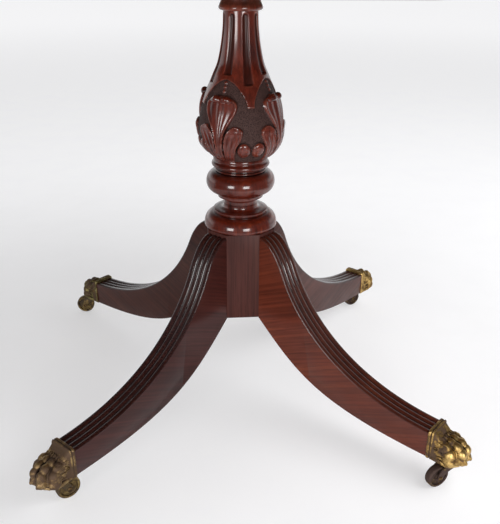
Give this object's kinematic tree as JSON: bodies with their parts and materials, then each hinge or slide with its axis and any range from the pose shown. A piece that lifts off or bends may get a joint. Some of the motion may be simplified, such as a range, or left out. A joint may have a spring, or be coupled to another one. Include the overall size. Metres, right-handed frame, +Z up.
{
  "type": "round pedestal table",
  "caption": "Round tilt-top pedestal table: carved and turned column on a block with reeded sabre legs, brass lion-paw caps and swivelling castors.",
  "frame": {"origin": "on the floor under the column's axis", "axes": "+Z up; -Y is the front; the four legs point to the diagonals between X and Y; the top tilts about an axis along Y near its +X side"},
  "size_m": [1.2, 1.2, 0.75],
  "materials": {
    "mahogany": "dark red-brown French polish, glossy, with darker hollows and worn lighter edges",
    "secondary_wood": "unpolished mahogany of the block under the top, dry and dusty",
    "brass": "aged cast brass, rubbed bright on the high places and brown in the hollows",
    "steel": "dull screw steel",
    "iron": "black forged plate"
  },
  "bodies": {
    "base": {"top_block": "secondary_wood", "column": "mahogany", "tenon_wedge": "secondary_wood", "pedestal_cap": "mahogany", "hub": "mahogany", "brace_plate": "iron", "keeper_plate": "brass", "plate_screw_1": "steel", "plate_screw_2": "steel", "plate_screw_3": "steel", "plate_screw_4": "steel", "leg_front_left": "mahogany", "paw_front_left": "brass", "paw_screw_left_front_left": "steel", "paw_screw_right_front_left": "steel", "leg_front_right": "mahogany", "paw_front_right": "brass", "paw_screw_left_front_right": "steel", "paw_screw_right_front_right": "steel", "leg_rear_right": "mahogany", "paw_rear_right": "brass", "paw_screw_left_rear_right": "steel", "paw_screw_right_rear_right": "steel", "leg_rear_left": "mahogany", "paw_rear_left": "brass", "paw_screw_left_rear_left": "steel", "paw_screw_right_rear_left": "steel"},
    "top": {"table_top": "mahogany", "bearer_front": "mahogany", "bearer_rear": "mahogany", "pivot_pin_front": "brass", "pivot_pin_rear": "brass", "bolt_case": "brass", "bearer_screw_1": "steel", "bearer_screw_2": "steel", "bearer_screw_3": "steel", "bearer_screw_4": "steel", "bearer_screw_5": "steel", "bearer_screw_6": "steel", "bearer_screw_7": "steel", "bearer_screw_8": "steel"},
    "bolt": {"slide_bolt": "brass"},
    "castor_front_left": {"castor_horn_front_left": "brass", "castor_axle_front_left": "steel"},
    "wheel_front_left": {"castor_wheel_front_left": "brass"},
    "castor_front_right": {"castor_horn_front_right": "brass", "castor_axle_front_right": "steel"},
    "wheel_front_right": {"castor_wheel_front_right": "brass"},
    "castor_rear_right": {"castor_horn_rear_right": "brass", "castor_axle_rear_right": "steel"},
    "wheel_rear_right": {"castor_wheel_rear_right": "brass"},
    "castor_rear_left": {"castor_horn_rear_left": "brass", "castor_axle_rear_left": "steel"},
    "wheel_rear_left": {"castor_wheel_rear_left": "brass"}
  },
  "joints": [
    {"name": "top_tilt", "type": "hinge", "parent": "base", "child": "top", "pos_m": [0.098, 0, 0.69885], "axis": [0, 1, 0], "range_deg": [0, 90]},
    {"name": "bolt_slide", "type": "slide", "parent": "top", "child": "bolt", "axis": [1, 0, 0], "range_m": [0, 0.012]},
    {"name": "swivel_front_left", "type": "hinge", "parent": "base", "child": "castor_front_left", "pos_m": [-0.29317, -0.29317, 0.05], "axis": [0, 0, 1], "continuous": true},
    {"name": "roll_front_left", "type": "hinge", "parent": "castor_front_left", "child": "wheel_front_left", "pos_m": [-0.27281, -0.28045, 0.018], "axis": [-0.5299, 0.848, 0], "continuous": true},
    {"name": "swivel_front_right", "type": "hinge", "parent": "base", "child": "castor_front_right", "pos_m": [0.29317, -0.29317, 0.05], "axis": [0, 0, 1], "continuous": true},
    {"name": "roll_front_right", "type": "hinge", "parent": "castor_front_right", "child": "wheel_front_right", "pos_m": [0.27061, -0.30138, 0.018], "axis": [0.342, -0.9397, 0], "continuous": true},
    {"name": "swivel_rear_right", "type": "hinge", "parent": "base", "child": "castor_rear_right", "pos_m": [0.29317, 0.29317, 0.05], "axis": [0, 0, 1], "continuous": true},
    {"name": "roll_rear_right", "type": "hinge", "parent": "castor_rear_right", "child": "wheel_rear_right", "pos_m": [0.27124, 0.28341, 0.018], "axis": [0.4067, -0.9135, 0], "continuous": true},
    {"name": "swivel_rear_left", "type": "hinge", "parent": "base", "child": "castor_rear_left", "pos_m": [-0.29317, 0.29317, 0.05], "axis": [0, 0, 1], "continuous": true},
    {"name": "roll_rear_left", "type": "hinge", "parent": "castor_rear_left", "child": "wheel_rear_left", "pos_m": [-0.31704, 0.29568, 0.018], "axis": [-0.1045, -0.9945, 0], "continuous": true}
  ]
}
